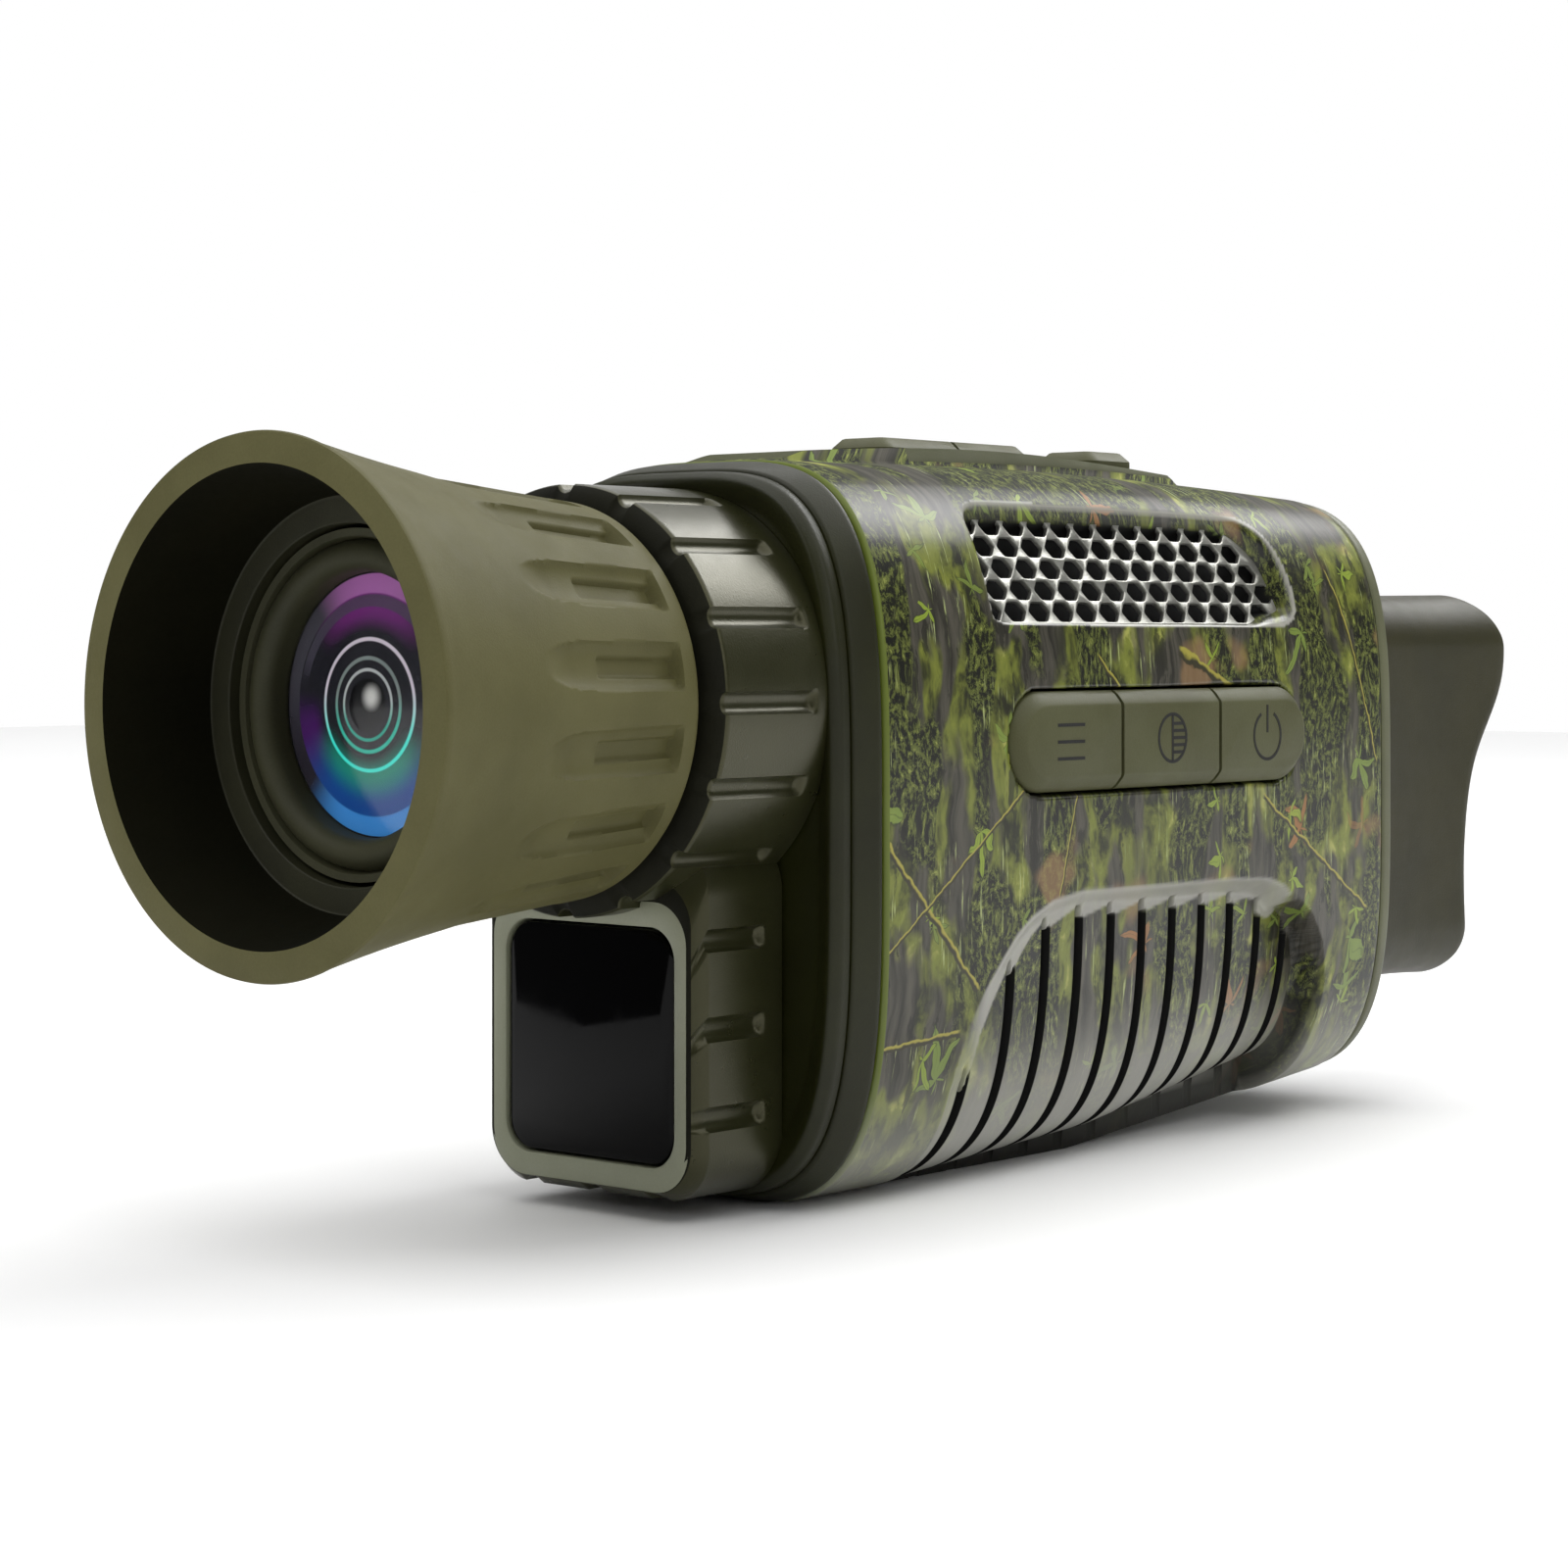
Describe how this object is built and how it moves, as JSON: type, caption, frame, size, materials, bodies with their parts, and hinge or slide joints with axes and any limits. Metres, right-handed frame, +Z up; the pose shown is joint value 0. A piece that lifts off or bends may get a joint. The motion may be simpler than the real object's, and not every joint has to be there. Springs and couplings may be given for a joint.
{
  "type": "night vision monocular",
  "caption": "Handheld digital night vision monocular with a flared focus hood, square infrared illuminator, camouflage shell, side and top keys and a rubber eyecup.",
  "frame": {"origin": "bottom centre of the object's box, on the surface that the casing stands on", "axes": "+Z up; the objective looks along -Y and the eye looks in from +Y; +X is the side with the three control buttons"},
  "size_m": [0.048, 0.184, 0.0759],
  "materials": {
    "hood_olive": "satin moulded olive plastic",
    "housing_olive": "semi-gloss moulded olive-grey plastic",
    "bezel_grey": "satin grey-green plastic",
    "window_black": "polished infrared-pass black",
    "dark_olive": "semi-gloss dark olive plastic",
    "camouflage": "leaf and bark camouflage print under a satin coat",
    "mesh_steel": "perforated silver-grey sheet",
    "button_olive": "satin olive keys with engraved symbols",
    "rubber_olive": "soft dark olive rubber",
    "rear_olive": "satin olive plastic",
    "black_plastic": "fine matt black plastic",
    "cell_metal": "dark anodised, fine turning marks",
    "coated_glass": "multicoated optical glass",
    "seal_rubber": "black nitrile",
    "circuit_board": "green solder mask",
    "led_package": "cream emitter package",
    "silicon": "dark sensor glass",
    "display_glass": "dark display glass",
    "battery_can": "blue shrink wrap over a metal can",
    "socket_steel": "stamped socket shells",
    "screw_steel": "zinc-plated screws",
    "brass": "turned brass",
    "card_plastic": "black card"
  },
  "bodies": {
    "casing": {"guide_barrel": "black_plastic", "focus_seal": "seal_rubber", "front_housing": "housing_olive", "lamp_bezel": "bezel_grey", "lamp_window": "window_black", "lamp_lens": "coated_glass", "lamp_led": "led_package", "lamp_board": "circuit_board", "front_cap": "dark_olive", "trim_ring": "dark_olive", "main_shell": "camouflage", "vent_mesh": "mesh_steel", "side_key_board": "circuit_board", "top_key_board": "circuit_board", "port_bay": "black_plastic", "usb_port": "socket_steel", "card_socket": "socket_steel", "image_sensor": "silicon", "sensor_board": "circuit_board", "main_board": "circuit_board", "battery": "battery_can", "speaker": "black_plastic", "display_panel": "display_glass", "display_frame": "black_plastic", "eyepiece_barrel": "black_plastic", "eyepiece_lens": "coated_glass", "rear_frame": "rear_olive", "rear_screw_1": "screw_steel", "rear_screw_2": "screw_steel", "rear_screw_3": "screw_steel", "rear_screw_4": "screw_steel", "eyecup": "rubber_olive", "tripod_nut": "brass"},
    "focus_hood": {"focus_hood": "hood_olive"},
    "lens_cell": {"lens_cell": "cell_metal", "front_lens": "coated_glass", "lens_retainer": "black_plastic", "rear_lens": "coated_glass"},
    "menu_button": {"menu_button": "button_olive"},
    "mode_button": {"mode_button": "button_olive"},
    "power_button": {"power_button": "button_olive"},
    "zoom_in_key": {"zoom_in_key": "button_olive"},
    "zoom_out_key": {"zoom_out_key": "button_olive"},
    "record_key": {"record_key": "button_olive"},
    "port_flap": {"port_flap": "rubber_olive"},
    "memory_card": {"memory_card": "card_plastic"}
  },
  "joints": [
    {"name": "focus_turn", "type": "hinge", "parent": "casing", "child": "focus_hood", "pos_m": [0, -0.07, 0.049], "axis": [0, 1, 0], "range_deg": [0, 270]},
    {"name": "lens_cell_travel", "type": "slide", "parent": "casing", "child": "lens_cell", "axis": [0, 1, 0], "range_m": [0, 0.003]},
    {"name": "menu_button_press", "type": "slide", "parent": "casing", "child": "menu_button", "axis": [-1, 0, 0], "range_m": [0, 0.0008], "stiffness_N_per_m": 800},
    {"name": "mode_button_press", "type": "slide", "parent": "casing", "child": "mode_button", "axis": [-1, 0, 0], "range_m": [0, 0.0008], "stiffness_N_per_m": 800},
    {"name": "power_button_press", "type": "slide", "parent": "casing", "child": "power_button", "axis": [-1, 0, 0], "range_m": [0, 0.0008], "stiffness_N_per_m": 800},
    {"name": "zoom_in_key_press", "type": "slide", "parent": "casing", "child": "zoom_in_key", "axis": [0, 0, -1], "range_m": [0, 0.0008], "stiffness_N_per_m": 800},
    {"name": "zoom_out_key_press", "type": "slide", "parent": "casing", "child": "zoom_out_key", "axis": [0, 0, -1], "range_m": [0, 0.0008], "stiffness_N_per_m": 800},
    {"name": "record_key_press", "type": "slide", "parent": "casing", "child": "record_key", "axis": [0, 0, -1], "range_m": [0, 0.0008], "stiffness_N_per_m": 800},
    {"name": "port_flap_swing", "type": "hinge", "parent": "casing", "child": "port_flap", "pos_m": [-0.0226, -0.0078, 0.0445], "axis": [0, 0, 1], "range_deg": [0, 120]},
    {"name": "memory_card_eject", "type": "slide", "parent": "casing", "child": "memory_card", "axis": [-1, 0, 0], "range_m": [0, 0.0025]}
  ],
  "couplings": [
    {"joint": "lens_cell_travel", "follows": "focus_turn", "m_per_rad": 0.000636}
  ]
}
